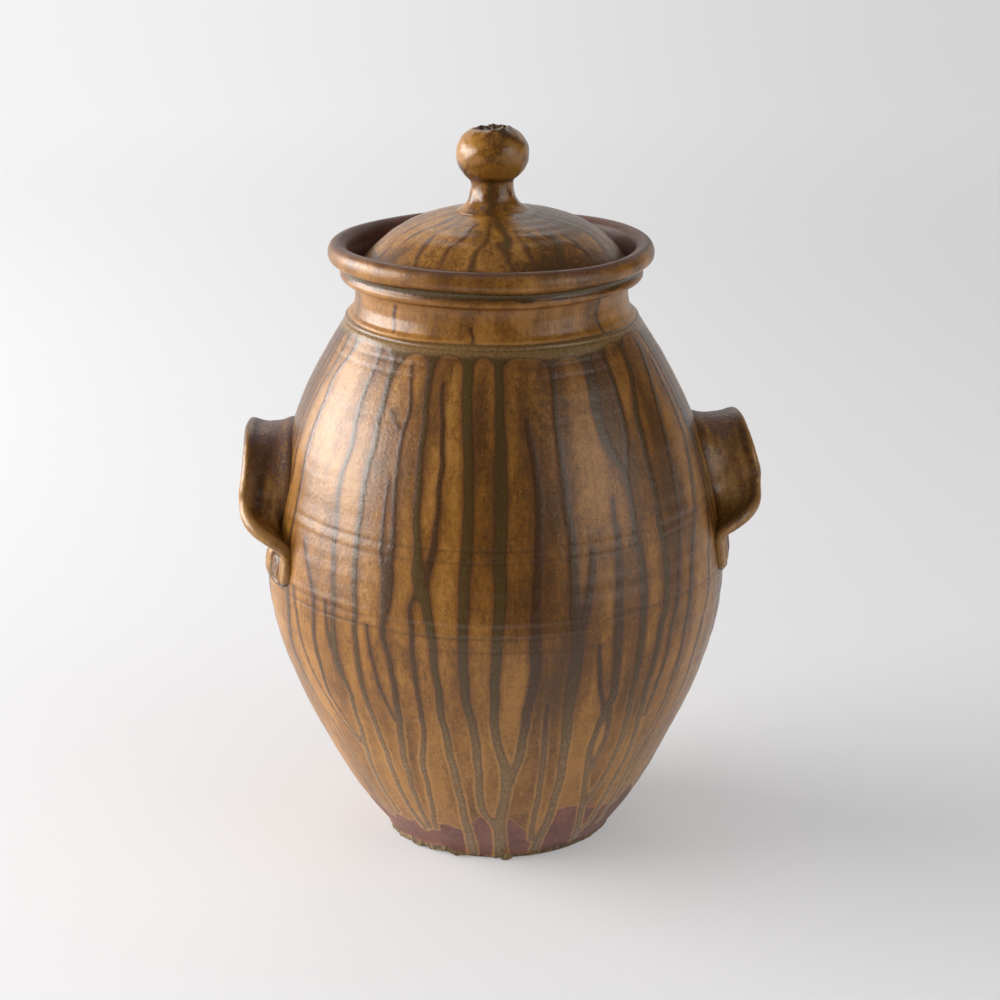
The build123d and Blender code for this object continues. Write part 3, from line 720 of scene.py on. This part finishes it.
# Shares of the drop, of the way to the toe, of the twist, of the width, of the width at the tip,
# of the thickness
foot_shares = (
    (0.0, 0.0, 0.0, 1.0, 1.0, 1.0), (0.1, 0.0, 0.03, 0.95, 1.0, 1.0),
    (0.2, 0.1, 0.14, 0.9, 1.0, 1.0), (0.31, 0.3, 0.4, 0.85, 1.0, 0.96),
    (0.42, 0.55, 0.7, 0.83, 1.0, 0.9), (0.53, 0.8, 0.92, 0.87, 1.0, 0.85),
    (0.64, 0.95, 1.0, 0.94, 1.0, 0.8), (0.8, 1.0, 1.0, 0.98, 1.0, 0.78),
    (0.93, 1.0, 1.0, 0.98, 0.82, 0.7), (1.0, 1.0, 1.0, 0.98, 0.5, 0.5),
)
seal_drop = 73.1
seal_half_width = 8.5
seal_half_height = 10.5


def strap_outline(half_width, half_thickness, dish):
    """Section of the strap: first number towards the free edge, second towards the plain face."""
    reach = half_width - half_thickness * 0.9
    across = np.linspace(-half_width, reach, 30)
    share = across / reach
    middle = np.clip(1 - share**2, 0, 1)
    plain = half_thickness + 0.35 * middle
    lip = np.exp(-((share - 0.9) / 0.17) ** 2) + 0.5 * np.exp(-((share + 0.9) / 0.14) ** 2)
    dished = -half_thickness + dish * middle**1.3 - 0.3 * lip
    bow = np.linspace(math.pi / 2, -math.pi / 2, 14)[1:-1]
    edge = np.stack([reach + half_thickness * 0.9 * np.cos(bow),
                     (half_thickness + 0.3) * np.sin(bow) - 0.15], 1)
    deep = np.linspace(-1, 1, 8)
    root = np.stack([np.full(8, -half_width - root_depth), half_thickness * deep], 1)
    plain_side, dished_side = np.stack([across, plain], 1), np.stack([across, dished], 1)
    outline = np.concatenate([plain_side, edge, dished_side[::-1], root])
    outline[:, 1] *= 1 + 0.22 * np.exp(-np.clip(outline[:, 0] + half_width - strap_embed, 0, 40) / 2.0)
    return outline


def strap_path(arch_height, strap_width, leg_spread, toe_spread):
    """Middle, width direction and shares at each step of one leg, from the top of the arch down."""
    table = np.array(foot_shares)
    curves = [smooth_curve(table[:, 0], table[:, i]) for i in range(1, 6)]
    steps = [(arch_rise * (1 - math.cos(a)), leg_spread * math.sin(a), 0.0, 1.0, 1.0, 1.0)
             for a in np.linspace(0, math.pi / 2, 60)]
    for share in np.linspace(0, 1, 76)[1:]:
        toe, twist, *sizes = (float(curve(share)) for curve in curves)
        drop = arch_rise + (handle_drop - arch_rise) * share
        steps.append((drop, leg_spread + (toe_spread - leg_spread) * toe, min(max(twist, 0), 1), *sizes))
    rows = []
    for drop, spread, twist_share, wide, tip, thick in steps:
        height = arch_height - drop
        radius = float(wall_radius(height))
        around = math.asin(spread / radius)
        half_width, half_thickness = strap_width * wide / 2, strap_thickness * thick / 2
        twist = math.pi / 2 * twist_share
        follow = around * (fan_share + (1 - fan_share) * twist_share)
        width_angle = follow + half_width / radius * twist_share + twist
        across = np.array((math.cos(width_angle), math.sin(width_angle), 0.0))
        edge_radius = radius + half_thickness * math.sin(twist) - strap_embed
        wall_edge = np.array((edge_radius * math.cos(around), edge_radius * math.sin(around), height))
        middle = wall_edge + across * half_width
        rows.append((middle, across, drop, twist_share, half_width * tip, half_thickness))
    return rows


def make_handle(name, arch_height, strap_width, leg_spread, toe_spread, crown_reach, heading):
    """A strap handle: one leg and its mirror image, then the whole turned to its side of the jar."""
    one = strap_path(arch_height, strap_width, leg_spread, toe_spread)
    flip = np.array((1.0, -1.0, 1.0))
    path = [(m * flip, a * flip, -d, t, w, h) for m, a, d, t, w, h in reversed(one[1:])] + one
    middles = np.array([row[0] for row in path])
    along = np.gradient(middles, axis=0)
    along /= np.linalg.norm(along, axis=1)[:, None]
    across = np.array([row[1] for row in path])
    across -= along * (along * across).sum(1)[:, None]
    across /= np.linalg.norm(across, axis=1)[:, None]
    face = np.cross(along, across)
    drop = np.array([row[2] for row in path])[:, None]
    twist = np.array([row[3] for row in path])[:, None]
    outlines = np.array([strap_outline(row[4], row[5], 0.4 + 1.5 * (1 - row[3])) for row in path])
    wide, thick = outlines[..., 0], outlines[..., 1]
    points = middles[:, None] + wide[..., None] * across[:, None] + thick[..., None] * face[:, None]
    steps, count = wide.shape

    # Uneven work of the hand, and the oval seal pressed in each strap end
    place = np.cumsum(np.concatenate([[0], np.linalg.norm(np.diff(middles, axis=0), axis=1)]))[:, None]
    outward = points - middles[:, None]
    outward /= np.maximum(np.linalg.norm(outward, axis=-1), 0.5)[..., None]
    around = np.arange(count)[None, :] * turn / count
    slow, quick, fine = make_ripple(7, 2, 55), make_ripple(10, 5, 16), make_ripple(12, 12, 5)
    dents = 0.22 * slow(around, place) + 0.07 * quick(around, place) + 0.04 * fine(around, place)
    points += outward * dents[..., None]
    plain_face = smooth_step(thick, 0.5, 2.0) * smooth_step(twist, 0.9, 1.0)
    round_seal = np.hypot(wide / seal_half_width, (np.abs(drop) - seal_drop) / seal_half_height)
    away = (round_seal - 1) * 9.3
    seal = np.exp(-((away - 0.6) / 0.9) ** 2) - 0.9 * np.exp(-((away + 1.4) / 0.8) ** 2)
    seal += 0.75 * smooth_step(away, -2.4, -3.8) - 0.5 * np.exp(-((away + 6.3) / 1.2) ** 2)
    points += (plain_face * seal)[..., None] * face[:, None]

    turned = np.array(((math.cos(heading), -math.sin(heading), 0),
                       (math.sin(heading), math.cos(heading), 0),
                       (0, 0, 1)))
    grid = points @ turned.T
    ends = grid[[0, -1]].mean(1)
    ring = np.arange(count)
    after = (ring + 1) % count
    low = np.arange(steps - 1)[:, None] * count
    quads = np.stack([low + ring, low + count + ring, low + count + after, low + after], -1)
    last = (steps - 1) * count
    caps = np.concatenate([np.stack([np.full(count, steps * count), ring, after], -1),
                           np.stack([np.full(count, steps * count + 1), last + after, last + ring], -1)])
    thing = new_mesh(name, leaned(np.concatenate([grid.reshape(-1, 3), ends])), quads, caps)

    # Brown faces with a mauve crown, a tan streak by the wall, and tan edges: partly thin glaze, partly a
    # painted highlight of the window lamp
    half = strap_width / 2
    spots, drift = make_ripple(14, 9, 14)(around, place), make_ripple(9, 3, 40)(around, place)
    streak = make_ripple(12, 14, 60)(around, place)
    to_edge = half - wide - 1.2
    crown = smooth_step(np.abs(drop) + 5 * drift, crown_reach, 2) * smooth_step(to_edge, 0.5, 7)
    # Tan free edges: partly thin glaze, partly painted highlight
    thin_glaze_and_highlight_edge = smooth_step(to_edge + 0.3 * spots, 6.0, 0.8) * smooth_step(np.abs(drop) + 4 * drift, 2, 22)
    root_streak = np.exp(-(((wide + half * 0.5 + 1.8 * drift) / 2.4) ** 2)) * (1 - twist)
    brown = 0.58 + 0.14 * drift + 0.14 * streak - 0.34 * thin_glaze_and_highlight_edge - 0.36 * root_streak - 0.2 * twist
    distance = 5.5 + 0.8 * drift + 0.8 * streak - 7.0 * smooth_step(np.abs(drop), 76, 85)
    bare = 1.5 - 1.75 * crown + 0.12 * spots
    seal_line = plain_face * np.exp(-((away + 1.4) / 1.0) ** 2)
    fields = {"run": distance, "olive": 0.45 + 0.3 * drift, "brown": np.clip(brown, 0, 1.15), "bare": bare,
              "line": seal_line}
    for field, values in fields.items():
        values = np.broadcast_to(values, (steps, count))
        give_field(thing, field, np.concatenate([values.ravel(), [values[0].mean(), values[-1].mean()]]))
    return thing


# Glaze
def colour(red, green, blue):
    """Linear colour from a screen colour of 0 to 255."""
    parts = [c / 255 for c in (red, green, blue)]
    return [c / 12.92 if c <= 0.04045 else ((c + 0.055) / 1.055) ** 2.4 for c in parts] + [1.0]


class Web:
    """Short names for the shader nodes of a material or a world."""

    def __init__(self, owner):
        owner.use_nodes = True
        self.nodes = owner.node_tree.nodes
        self.links = owner.node_tree.links

    def put(self, socket, value):
        if isinstance(value, bpy.types.NodeSocket):
            self.links.new(value, socket)
        else:
            socket.default_value = value

    def scaled(self, vector, sizes):
        node = self.nodes.new("ShaderNodeVectorMath")
        node.operation = "MULTIPLY"
        self.put(node.inputs[0], vector)
        self.put(node.inputs[1], sizes)
        return node.outputs[0]

    def field(self, name):
        node = self.nodes.new("ShaderNodeAttribute")
        node.attribute_name = name
        return node.outputs["Fac"]

    def maths(self, operation, *values):
        node = self.nodes.new("ShaderNodeMath")
        node.operation = operation
        for socket, value in zip(node.inputs, values):
            self.put(socket, value)
        return node.outputs[0]

    def times(self, first, second):
        return self.maths("MULTIPLY", first, second)

    def centred(self, value):
        """The value less a half, so that noise lies round zero."""
        return self.maths("SUBTRACT", value, 0.5)

    def add(self, value, other, share=1.0):
        """value + other * share"""
        return self.maths("MULTIPLY_ADD", other, share, value)

    def step(self, value, low, high, bottom=0.0, top=1.0):
        """Soft step from bottom, at low, to top, at high."""
        node = self.nodes.new("ShaderNodeMapRange")
        node.interpolation_type = "SMOOTHSTEP"
        if low > high:
            low, high, bottom, top = high, low, top, bottom
        for socket, number in zip(node.inputs[:5], (value, low, high, bottom, top)):
            self.put(socket, number)
        return node.outputs["Result"]

    def mix(self, share, first, second):
        """Colour that goes from the first, at a share of 0, to the second, at 1."""
        node = self.nodes.new("ShaderNodeMix")
        node.data_type = "RGBA"
        self.put(node.inputs["Factor"], share)
        self.put(node.inputs[6], first)
        self.put(node.inputs[7], second)
        return node.outputs[2]

    def blend(self, share, first, second):
        """The same for numbers."""
        node = self.nodes.new("ShaderNodeMix")
        self.put(node.inputs["Factor"], share)
        self.put(node.inputs[2], first)
        self.put(node.inputs[3], second)
        return node.outputs[0]

    def ramp(self, value, places, colours):
        """Colour that goes through the given colours at the given places."""
        node = self.nodes.new("ShaderNodeValToRGB")
        stops = node.color_ramp.elements
        while len(stops) < len(places):
            stops.new(0.5)
        for stop, place, tint in zip(stops, places, colours):
            stop.position = place
            stop.color = tint
        self.put(node.inputs["Fac"], value)
        return node.outputs["Color"]

    def bump(self, height, distance):
        node = self.nodes.new("ShaderNodeBump")
        node.inputs["Strength"].default_value = 1.0
        self.put(node.inputs["Distance"], distance)
        self.put(node.inputs["Height"], height)
        return node.outputs["Normal"]


class Paint(Web):
    """The nodes of a new material, with the places on the object in millimetres."""

    def __init__(self, name):
        self.material = bpy.data.materials.new(name)
        super().__init__(self.material)
        self.surface = self.nodes["Principled BSDF"]
        coordinates = self.nodes.new("ShaderNodeTexCoord").outputs["Object"]
        self.place = self.scaled(coordinates, (1000, 1000, 1000))

    def noise(self, scale, detail=3.0, rough=0.55, stretch=(1, 1, 1), bend=0.0):
        node = self.nodes.new("ShaderNodeTexNoise")
        self.put(node.inputs["Vector"], self.scaled(self.place, stretch))
        node.inputs["Scale"].default_value = scale
        node.inputs["Detail"].default_value = detail
        node.inputs["Roughness"].default_value = rough
        node.inputs["Distortion"].default_value = bend
        return node.outputs["Fac"]


def glaze(name, grounds, run_edge, run_core, bare_colour, roughness=0.32, soft=1.0, mottle=1.0):
    """Ash glaze over clay: brown ground, dark runs, bare clay and a crusty foot, by the mesh's fields."""
    web = Paint(name)
    run, olive, brown, bare = (web.field(field) for field in ("run", "olive", "brown", "bare"))
    line, crust, pale = (web.field(field) for field in ("line", "crust", "pale"))
    cloud = web.centred(web.noise(0.05, 4, 0.6))
    grain = web.centred(web.noise(0.5, 4, 0.65, stretch=(1, 1, 0.4)))
    drips = web.centred(web.noise(0.3, 3, 0.6, stretch=(1, 1, 0.1), bend=0.5))
    fine = web.centred(web.noise(1.7, 3, 0.7))
    specks = web.noise(2.2, 2, 0.5)

    shade = web.add(web.add(brown, cloud, 0.7 * mottle), drips, 0.8 * mottle)
    shade = web.add(web.add(shade, grain, 0.85 * mottle), fine, 0.95)
    veins = web.maths("ABSOLUTE", web.centred(web.noise(0.28, 3, 0.5, stretch=(1, 1, 0.6), bend=0.8)))
    shade = web.add(shade, web.times(web.step(veins, 0.05, 0.012), web.step(cloud, -0.12, 0.08)), 0.3)
    ground = web.ramp(shade, (0.0, 0.3, 0.62, 1.0), [colour(*tint) for tint in grounds])
    ground = web.mix(web.step(specks, 0.58, 0.66, 0, 0.6), ground, colour(62, 38, 18))
    cracks = web.step(web.noise(0.85, 2, 0.5, bend=1.5), 0.36, 0.3, 0, 0.35)
    ground = web.mix(cracks, ground, colour(206, 158, 92))
    ground = web.mix(web.step(web.noise(3.0, 1, 0.5), 0.71, 0.77, 0, 0.6), ground, colour(188, 148, 92))

    edge = web.add(web.add(run, grain, 1.7 * soft), fine, web.add(1.8 * soft, pale, 0.9))
    tone = web.add(web.add(olive, drips, 0.9), grain, 0.8)
    core = web.times(web.step(tone, 0.0, 0.7), web.step(edge, -0.1, -1.6))
    core = web.maths("MAXIMUM", core, web.times(pale, web.step(edge, 0.0, -1.4, 0, 0.75)))
    core_tone = web.step(web.add(grain, fine, 0.8), -0.3, 0.3)
    light_core = web.mix(core_tone, colour(116, 88, 50), colour(140, 108, 64))
    glass = web.mix(core, web.mix(pale, colour(*run_edge), colour(100, 70, 44)),
                    web.mix(pale, colour(*run_core), light_core))
    darker = web.times(web.step(web.add(brown, fine, 0.5), 0.35, 1.1, 0, 0.6), web.step(pale, 0.8, 0.2))
    glass = web.mix(darker, glass, colour(72, 46, 24))
    glass = web.mix(web.step(web.noise(1.1, 3, 0.6, stretch=(1, 1, 0.5)), 0.6, 0.75, 0, 0.35), glass,
                    colour(128, 104, 60))
    brown_margin = web.times(web.step(edge, 2.8, 0.2, 0, 0.5), web.step(pale, 0.8, 0.1))
    ground = web.mix(brown_margin, ground, colour(108, 64, 28))
    tan_margin = web.times(pale, web.step(cloud, -0.16, 0.1, 0.3, 1.0))
    tan_margin = web.times(web.step(edge, 2.4, 1.1, 0, 0.6), tan_margin)
    ground = web.mix(tan_margin, ground, colour(192, 142, 78))
    in_run = web.step(edge, 0.8 * soft, -0.7 * soft)
    surface = web.mix(in_run, ground, glass)

    border = web.add(web.add(bare, grain, 4.0), fine, 1.6)
    is_bare = web.step(border, 0.8, -0.8)
    rim = web.times(web.step(border, 1.5, 0.3), web.times(web.step(in_run, 0.7, 0.2), pale))
    surface = web.mix(web.times(rim, 0.6), surface, colour(196, 138, 76))
    clay_tone = web.step(web.add(web.add(fine, cloud, 0.9), grain, 0.8), -0.3, 0.35)
    clay_colours = [colour(*(c * share for c in bare_colour)) for share in (0.74, 1.18)]
    clay = web.mix(clay_tone, *clay_colours)
    surface = web.mix(is_bare, surface, clay)
    grit = web.step(web.add(crust, fine, 0.8), 0.35, 0.6)
    surface = web.mix(web.times(grit, 0.9), surface,
                      web.mix(web.step(grain, -0.1, 0.12), colour(80, 64, 40), colour(150, 125, 82)))
    surface = web.mix(web.times(line, 0.36), surface, colour(58, 38, 20))
    web.put(web.surface.inputs["Base Color"], surface)

    gloss = web.add(web.blend(in_run, roughness, roughness - 0.05), grain, 0.16)
    gloss = web.blend(is_bare, gloss, web.add(0.5, fine, 0.3))
    web.put(web.surface.inputs["Roughness"], web.blend(grit, gloss, 0.62))
    web.surface.inputs["IOR"].default_value = 1.5

    peel = web.add(web.noise(0.42, 2, 0.5), fine, 0.4)
    peel = web.add(peel, web.times(grit, web.noise(1.1, 3, 0.7)), 2.0)
    peel = web.add(peel, web.step(specks, 0.6, 0.72), 0.1)
    web.put(web.surface.inputs["Normal"], web.bump(peel, 0.00018))
    return web.material


body_glaze = glaze("body_glaze", grounds=((168, 116, 50), (144, 95, 31), (118, 74, 20), (86, 53, 13)),
                   run_edge=(76, 48, 22), run_core=(82, 62, 25), bare_colour=(124, 80, 66))
lid_glaze = glaze("lid_glaze", grounds=((176, 124, 54), (152, 102, 36), (120, 76, 22), (84, 54, 18)),
                  run_edge=(94, 60, 28), run_core=(92, 68, 32), bare_colour=(100, 64, 52),
                  soft=2.2, mottle=1.25)
handle_glaze = glaze("handle_glaze", grounds=((164, 120, 66), (142, 100, 46), (110, 72, 26), (76, 48, 17)),
                     run_edge=(74, 50, 26), run_core=(84, 66, 34), bare_colour=(98, 66, 58), mottle=0.9)
knob_glaze = glaze("knob_glaze", grounds=((160, 112, 46), (144, 96, 32), (108, 68, 20), (72, 46, 18)),
                   run_edge=(80, 52, 24), run_core=(88, 68, 30), bare_colour=(104, 68, 56),
                   roughness=0.22, soft=1.4)

pieces = (
    (make_body(), "jar", body_glaze, "body_glaze", ("jar_body",)),
    (make_neck(), "jar", body_glaze, "body_glaze", ("jar_neck",)),
    (make_handle("left_strap", arch_height=268.0, strap_width=31.5, leg_spread=41.0, toe_spread=42.0,
                 crown_reach=46, heading=math.radians(180 - handle_swing)),
     "jar", handle_glaze, "handle_glaze", ("left_handle",)),
    (make_handle("right_strap", arch_height=266.5, strap_width=36.5, leg_spread=29.0, toe_spread=32.0,
                 crown_reach=20, heading=math.radians(handle_swing)),
     "jar", handle_glaze, "handle_glaze", ("right_handle",)),
    (make_lid(), "lid", lid_glaze, "lid_glaze", ("lid",)),
    (make_lid_ring(), "lid", lid_glaze, "lid_glaze", ("lid_ring",)),
    (make_knob(), "lid", knob_glaze, "knob_glaze", ("lid_knob",)),
)
for thing, body, material, slot, nodes in pieces:
    thing.data.materials.append(material)
    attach(thing, body)
    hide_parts(*nodes)


# Brightness of the ground far off, as the camera sees it
pale_ground = 0.88


def make_floor():
    """Floor that sweeps up far behind the jar."""
    sweep_start, sweep_radius, half_width = 3400, 2600, 7000
    side = [(-6000, 0)] + [(y, 0) for y in np.linspace(-5000, sweep_start, 40)]
    side += [(sweep_start + sweep_radius * math.sin(a), sweep_radius * (1 - math.cos(a)))
             for a in np.linspace(0, math.pi / 2, 30)[1:]]
    side += [(sweep_start + sweep_radius, 7000)]
    across = np.linspace(-half_width, half_width, 29)
    points = [(x, y, z) for y, z in side for x in across]
    count = len(across)
    low = np.arange(len(side) - 1)[:, None] * count
    ring = np.arange(count - 1)
    quads = np.stack([low + ring, low + ring + 1, low + count + ring + 1, low + count + ring], -1)
    return new_mesh("floor", np.array(points, float), quads)


def make_floor_paint():
    """Pale paint that keeps the jar's shadow and, to the camera, fades to an even pale ground far off.

    To the camera a painted light is laid over the lit floor as emission: a third of it near the jar,
    which lifts the jar's shadow, and all of it far off. Near the jar this painted light is lighter on
    its left, as from the window lamp there. Light that doesn't come straight to the camera finds the
    floor in front of the jar dark.
    """
    web = Paint("floor_paint")
    path_kind = web.nodes.new("ShaderNodeLightPath").outputs
    parts = web.nodes.new("ShaderNodeSeparateXYZ")
    web.put(parts.inputs[0], web.place)
    x, y = parts.outputs["X"], parts.outputs["Y"]
    length = web.nodes.new("ShaderNodeVectorMath")
    length.operation = "LENGTH"
    web.put(length.inputs[0], web.place)

    mirrored = web.times(path_kind["Is Glossy Ray"], web.step(y, -900, 0))
    seen = web.add(web.add(path_kind["Is Camera Ray"], path_kind["Is Transmission Ray"]), mirrored)
    lit = web.maths("MAXIMUM", web.step(y, -950, -550), seen)
    web.put(web.surface.inputs["Base Color"], web.mix(lit, (0.2, 0.2, 0.2, 1), (0.86, 0.85, 0.85, 1)))
    web.put(web.surface.inputs["Roughness"], 0.9)
    web.put(web.surface.inputs["Specular IOR Level"], 0.0)

    # Painted light: near the jar the floor's emission is lighter on the left and darker on the right, like
    # the fall of the window lamp's light
    aside = web.maths("DIVIDE", web.add(x, y, -0.1), web.add(web.maths("MAXIMUM", y, -900.0), 1500.0))
    level = web.times(web.step(aside, -0.25, 0.25, 0.93, 0.67), web.step(y, 500, 5000, 1.0, 0.97))
    away = web.maths("MAXIMUM", web.step(aside, 0.3, 1.2), web.step(y, -1000, -2200))
    painted_glow = web.nodes.new("ShaderNodeEmission")
    painted_glow.inputs["Color"].default_value = (1.0, 1.0, 1.01, 1)
    web.put(painted_glow.inputs["Strength"], web.blend(away, level, pale_ground))

    blended = web.nodes.new("ShaderNodeMixShader")
    # Painted light over the lit floor, to the camera: a third of the emission near the jar, which lifts the
    # jar's shadow, and all of it far off
    far = web.times(seen, web.step(length.outputs["Value"], 1300, 3200, 0.35, 1.0))
    for socket, value in zip(blended.inputs, (far, web.surface.outputs[0], painted_glow.outputs[0])):
        web.put(socket, value)
    web.put(web.nodes["Material Output"].inputs["Surface"], blended.outputs[0])
    return web.material


floor = make_floor()
floor.data.materials.append(make_floor_paint())


def soft_lamp(name, degrees, distance, height, wide, tall, strength, aim):
    """Rectangular lamp round the jar, its heading counted from the camera's side."""
    data = bpy.data.lights.new(name, "AREA")
    data.shape = "RECTANGLE"
    data.size, data.size_y = wide, tall
    data.energy = strength * math.pi * wide * tall
    data.color = (1.0, 0.985, 0.97)
    lamp = bpy.data.objects.new(name, data)
    heading = front_angle + math.radians(degrees)
    place = Vector((distance * math.cos(heading), distance * math.sin(heading), height))
    lamp.location = place
    lamp.rotation_euler = (Vector(aim) - place).to_track_quat("-Z", "Y").to_euler()
    bpy.context.scene.collection.objects.link(lamp)


soft_lamp("window_left", degrees=-95, distance=3.0, height=0.9, wide=3.3, tall=1.6, strength=11.0,
          aim=(0, 0, 0.2))
soft_lamp("panel_right", degrees=60, distance=1.6, height=0.74, wide=1.25, tall=1.15, strength=2.05,
          aim=(0, 0, 0.7))
soft_lamp("back_wash", degrees=184, distance=4.0, height=3.2, wide=3.0, tall=2.0, strength=1.2,
          aim=(-0.5, 4.0, 0))


def make_world():
    """Studio that is bright above and on the left, dim in the glaze's mirror, and pale to the camera."""
    world = bpy.data.worlds.new("world")
    web = Web(world)
    path_kind = web.nodes.new("ShaderNodeLightPath").outputs
    facing = web.nodes.new("ShaderNodeVectorMath")
    facing.operation = "DOT_PRODUCT"
    web.put(facing.inputs[0], web.nodes.new("ShaderNodeTexCoord").outputs["Generated"])
    web.put(facing.inputs[1], (-0.4, 0.3, 0.87))
    level = web.step(facing.outputs["Value"], -0.4, 0.8, 0.06, 0.53)
    strength = web.times(level, web.step(path_kind["Is Glossy Ray"], 0, 1, 1, 0.2))
    seen = web.add(path_kind["Is Camera Ray"], path_kind["Is Transmission Ray"])
    background = web.nodes["Background"]
    web.put(background.inputs["Color"], (0.97, 0.98, 1.0, 1))
    web.put(background.inputs["Strength"], web.blend(seen, strength, pale_ground))
    return world


bpy.context.scene.world = make_world()
bpy.context.scene.view_settings.view_transform = "Standard"
